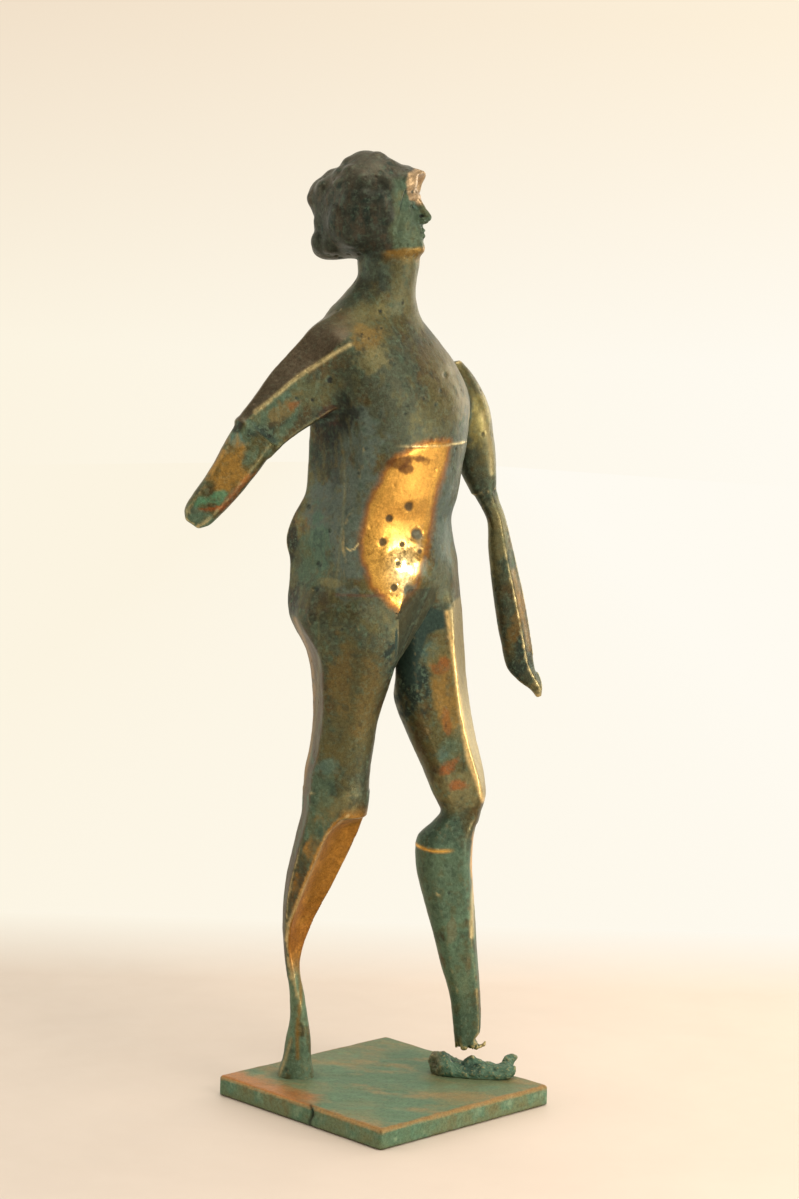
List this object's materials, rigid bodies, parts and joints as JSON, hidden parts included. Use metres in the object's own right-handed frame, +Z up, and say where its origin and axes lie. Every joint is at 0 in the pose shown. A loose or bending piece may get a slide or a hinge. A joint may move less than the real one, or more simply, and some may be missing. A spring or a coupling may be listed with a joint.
{
  "type": "bronze statuette",
  "caption": "Patinated bronze statuette of a striding nude figure in jointed castings, with cut-off arms and shin, on a square plate.",
  "frame": {"origin": "centre of the square plate's underside", "axes": "+Z up; X and Y along the plate's sides; the chest faces -Y and the figure strides along the diagonal towards +X and -Y"},
  "size_m": [0.1365, 0.085, 0.3412],
  "materials": {
    "figure_bronze": "cast bronze with a satin olive and green patina, rubbed gold on edges",
    "head_bronze": "cast bronze with a dark brown-green patina",
    "plate_bronze": "cast bronze with a matt verdigris patina, worn brown on edges",
    "pin_bronze": "drawn bronze, filed flush",
    "steel": "turned steel"
  },
  "bodies": {
    "root": {"base_plate": "plate_bronze", "foot_stud": "steel", "stud_washer": "steel", "stud_nut": "steel", "foot_fragment": "plate_bronze", "fragment_pins": "pin_bronze", "right_lower_leg": "figure_bronze", "right_knee_pin": "pin_bronze", "right_thigh": "figure_bronze", "right_hip_dowel": "steel", "left_calf": "figure_bronze", "left_knee_pin": "pin_bronze", "left_thigh": "figure_bronze", "left_hip_dowel": "steel", "abdomen": "figure_bronze", "waist_pins": "pin_bronze", "chest": "figure_bronze", "neck_dowel": "steel", "head": "head_bronze", "right_shoulder_dowel": "steel", "right_upper_arm": "figure_bronze", "right_elbow_dowel": "steel", "right_forearm": "figure_bronze", "left_shoulder_dowel": "steel", "left_upper_arm": "figure_bronze", "left_elbow_dowel": "steel", "left_forearm": "figure_bronze"}
  },
  "joints": []
}
